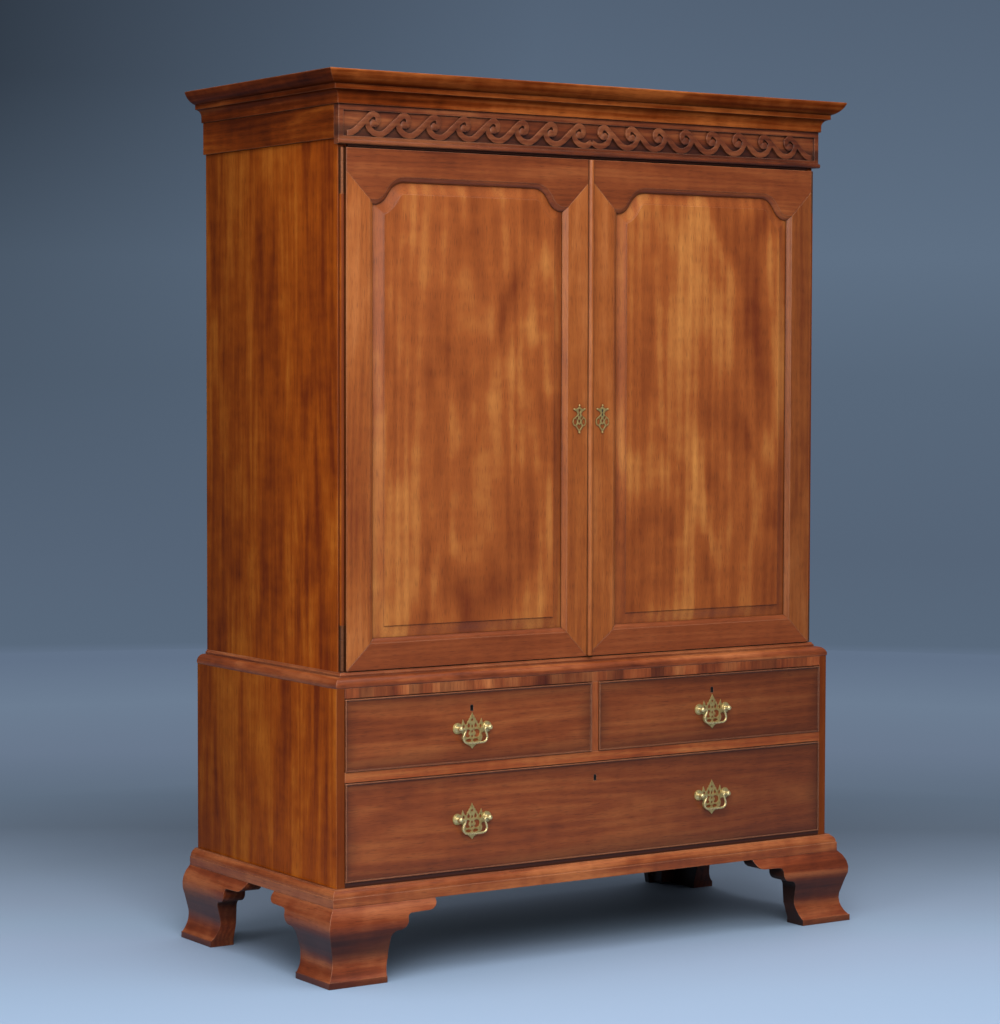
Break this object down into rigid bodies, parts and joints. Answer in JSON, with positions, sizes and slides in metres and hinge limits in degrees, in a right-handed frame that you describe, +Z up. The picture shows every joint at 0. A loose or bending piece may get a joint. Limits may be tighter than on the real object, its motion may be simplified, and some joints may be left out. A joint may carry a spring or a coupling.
{
  "type": "linen press",
  "caption": "Mahogany linen press with two fielded-panel doors over a chest of drawers, a carved running-scroll frieze, brass swan-neck handles and ogee bracket feet.",
  "frame": {"origin": "floor level, at the middle of the whole piece's plan", "axes": "+Z up; the doors and drawers face -Y; +X to the right seen from the front"},
  "size_m": [1.464, 0.692, 1.98],
  "materials": {
    "mahogany": "french polished",
    "oak": "unpolished secondary wood",
    "brass": "cast and polished",
    "steel": "dull"
  },
  "bodies": {
    "carcase": {"cornice_moulding": "mahogany", "cornice_dust_board": "oak", "frieze_front": "mahogany", "frieze_scroll": "mahogany", "frieze_sides": "mahogany", "press_side_left": "mahogany", "press_side_right": "mahogany", "press_top_board": "oak", "press_bottom_board": "oak", "press_back_boards": "oak", "tray_runners": "oak", "carcase_hinge_leaves": "brass", "chest_side_left": "mahogany", "chest_side_right": "mahogany", "chest_top_board": "mahogany", "waist_moulding": "mahogany", "chest_top_rail": "mahogany", "chest_middle_rail": "mahogany", "chest_bottom_board": "oak", "drawer_divider": "mahogany", "drawer_runners": "oak", "chest_back_boards": "oak", "base_moulding": "mahogany", "foot_front_left": "mahogany", "foot_front_right": "mahogany", "foot_rear_left": "mahogany", "foot_rear_right": "mahogany"},
    "left_door": {"left_door_hinge_stile": "mahogany", "left_door_meeting_stile": "mahogany", "left_door_top_rail": "mahogany", "left_door_bottom_rail": "mahogany", "left_door_panel": "mahogany", "left_door_brasses": "brass"},
    "left_door_top_bolt": {"left_door_top_bolt": "steel"},
    "left_door_bottom_bolt": {"left_door_bottom_bolt": "steel"},
    "right_door": {"right_door_hinge_stile": "mahogany", "right_door_meeting_stile": "mahogany", "right_door_top_rail": "mahogany", "right_door_bottom_rail": "mahogany", "right_door_panel": "mahogany", "right_door_astragal": "mahogany", "right_door_brasses": "brass"},
    "right_door_lock_bolt": {"right_door_lock_bolt": "steel"},
    "left_drawer": {"left_drawer_front": "mahogany", "left_drawer_box": "oak", "left_drawer_brasses": "brass"},
    "left_drawer_bail": {"left_drawer_bail": "brass"},
    "right_drawer": {"right_drawer_front": "mahogany", "right_drawer_box": "oak", "right_drawer_brasses": "brass"},
    "right_drawer_bail": {"right_drawer_bail": "brass"},
    "long_drawer": {"long_drawer_front": "mahogany", "long_drawer_box": "oak", "long_drawer_brasses": "brass"},
    "long_drawer_bail_left": {"long_drawer_bail_left": "brass"},
    "long_drawer_bail_right": {"long_drawer_bail_right": "brass"},
    "tray_1": {"tray_1": "oak"},
    "tray_2": {"tray_2": "oak"},
    "tray_3": {"tray_3": "oak"},
    "tray_4": {"tray_4": "oak"}
  },
  "joints": [
    {"name": "left_door_hinge", "type": "hinge", "parent": "carcase", "child": "left_door", "pos_m": [-0.65473, -0.2695, 1.25], "axis": [0, 0, -1], "range_deg": [0, 110]},
    {"name": "right_door_hinge", "type": "hinge", "parent": "carcase", "child": "right_door", "pos_m": [0.65473, -0.2695, 1.25], "axis": [0, 0, 1], "range_deg": [0, 110]},
    {"name": "left_door_top_bolt_slide", "type": "slide", "parent": "left_door", "child": "left_door_top_bolt", "axis": [0, 0, 1], "range_m": [0, 0.012]},
    {"name": "left_door_bottom_bolt_slide", "type": "slide", "parent": "left_door", "child": "left_door_bottom_bolt", "axis": [0, 0, -1], "range_m": [0, 0.012]},
    {"name": "right_door_lock_bolt_slide", "type": "slide", "parent": "right_door", "child": "right_door_lock_bolt", "axis": [-1, 0, 0], "range_m": [0, 0.008]},
    {"name": "left_drawer_slide", "type": "slide", "parent": "carcase", "child": "left_drawer", "axis": [0, -1, 0], "range_m": [0, 0.42]},
    {"name": "right_drawer_slide", "type": "slide", "parent": "carcase", "child": "right_drawer", "axis": [0, -1, 0], "range_m": [0, 0.42]},
    {"name": "long_drawer_slide", "type": "slide", "parent": "carcase", "child": "long_drawer", "axis": [0, -1, 0], "range_m": [0, 0.42]},
    {"name": "left_drawer_bail_hinge", "type": "hinge", "parent": "left_drawer", "child": "left_drawer_bail", "pos_m": [-0.33825, -0.317, 0.5385], "axis": [-1, 0, 0], "range_deg": [0, 90]},
    {"name": "right_drawer_bail_hinge", "type": "hinge", "parent": "right_drawer", "child": "right_drawer_bail", "pos_m": [0.33825, -0.317, 0.5385], "axis": [-1, 0, 0], "range_deg": [0, 90]},
    {"name": "long_drawer_bail_left_hinge", "type": "hinge", "parent": "long_drawer", "child": "long_drawer_bail_left", "pos_m": [-0.33825, -0.317, 0.335], "axis": [-1, 0, 0], "range_deg": [0, 90]},
    {"name": "long_drawer_bail_right_hinge", "type": "hinge", "parent": "long_drawer", "child": "long_drawer_bail_right", "pos_m": [0.33825, -0.317, 0.335], "axis": [-1, 0, 0], "range_deg": [0, 90]},
    {"name": "tray_1_slide", "type": "slide", "parent": "carcase", "child": "tray_1", "axis": [0, -1, 0], "range_m": [0, 0.012]},
    {"name": "tray_2_slide", "type": "slide", "parent": "carcase", "child": "tray_2", "axis": [0, -1, 0], "range_m": [0, 0.012]},
    {"name": "tray_3_slide", "type": "slide", "parent": "carcase", "child": "tray_3", "axis": [0, -1, 0], "range_m": [0, 0.012]},
    {"name": "tray_4_slide", "type": "slide", "parent": "carcase", "child": "tray_4", "axis": [0, -1, 0], "range_m": [0, 0.012]}
  ]
}
